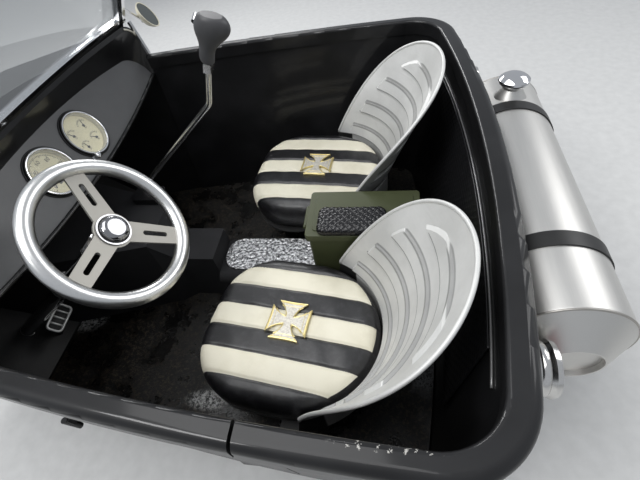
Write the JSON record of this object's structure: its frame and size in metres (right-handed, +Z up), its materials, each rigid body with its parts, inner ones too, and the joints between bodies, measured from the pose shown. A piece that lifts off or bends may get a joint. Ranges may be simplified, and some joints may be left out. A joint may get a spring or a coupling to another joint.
{
  "type": "hot rod roadster body",
  "caption": "Open two-seat roadster body tub with complete cockpit: rolled rail, bucket seats, dash, windshield, side mirror, opening door, folding-lid armrest box and a strapped rear fuel tank.",
  "frame": {"origin": "centre of the four body mounting holes, in the bottom plane of the sub-frame", "axes": "+X to the front of the car, +Y to its left, +Z up"},
  "size_m": [1.5515, 1.228, 0.9596],
  "materials": {
    "black_paint": "satin black paint",
    "floor_paint": "textured black coating",
    "dash_grey": "satin grey paint",
    "seat_metal": "satin rolled sheet",
    "seat_leather": "black leather with three cream stripes",
    "ornament": "polished casting",
    "chrome": "polished chrome",
    "polished": "polished",
    "tank_metal": "brushed",
    "olive_paint": "worn olive paint",
    "pad_leather": "black embossed leather",
    "dial_cream": "cream dial in a black case",
    "cover_metal": "speckled cast plate",
    "grip_grey": "dark grey casting",
    "glass": "clear",
    "mirror_face": "mirror",
    "mirror_shell": "cream enamel",
    "lens_red": "clear red",
    "rubber": "matt",
    "steel": "brushed"
  },
  "bodies": {
    "body": {"body_tub": "black_paint", "door_hinges": "chrome", "cowl": "black_paint", "firewall": "black_paint", "toe_board": "floor_paint", "floor_pan": "floor_paint", "tunnel": "floor_paint", "transmission_hump": "floor_paint", "tunnel_cover": "cover_metal", "dash_panel": "dash_grey", "dash_bead": "rubber", "gauge_cans": "dial_cream", "gauge_bezels": "chrome", "dash_knob": "chrome", "windshield_frame": "chrome", "screen_seal": "rubber", "windshield_glass": "glass", "windshield_posts": "chrome", "mirror_arm": "chrome", "mirror_head": "mirror_shell", "mirror_glass": "mirror_face", "steering_column": "chrome", "column_drop": "dash_grey", "gear_lever": "chrome", "gear_grip": "grip_grey", "grip_button": "chrome", "lever_base": "black_paint", "brake_pedal": "polished", "seat_shell_left": "seat_metal", "seat_shell_right": "seat_metal", "cushion_left": "seat_leather", "cushion_right": "seat_leather", "seat_risers": "black_paint", "seat_ornaments": "ornament", "can_body": "olive_paint", "can_hinge": "olive_paint", "tank_shell": "tank_metal", "filler_cap": "chrome", "tank_straps": "black_paint", "tank_brackets": "black_paint", "tail_lamps": "polished", "tail_lenses": "lens_red", "sub_frame": "black_paint"},
    "door": {"door_left": "black_paint"},
    "wheel": {"wheel_rim": "polished", "wheel_spokes": "polished", "hub_cap": "chrome", "steering_shaft": "steel"},
    "lid": {"can_lid": "olive_paint", "can_latch": "olive_paint", "armrest_pad": "pad_leather"}
  },
  "joints": [
    {"name": "steering", "type": "hinge", "parent": "body", "child": "wheel", "pos_m": [0.1423, 0.2494, 0.6046], "axis": [0.7757, 0, -0.6311], "range_deg": [-540, 540]},
    {"name": "door_left", "type": "hinge", "parent": "body", "child": "door", "pos_m": [0.36, 0.52808, 0.562], "axis": [0, -0.0893, -0.996], "range_deg": [0, 70]},
    {"name": "can_lid", "type": "hinge", "parent": "body", "child": "lid", "pos_m": [-0.444, -0.003, 0.3676], "axis": [0, -1, 0], "range_deg": [0, 95]}
  ]
}
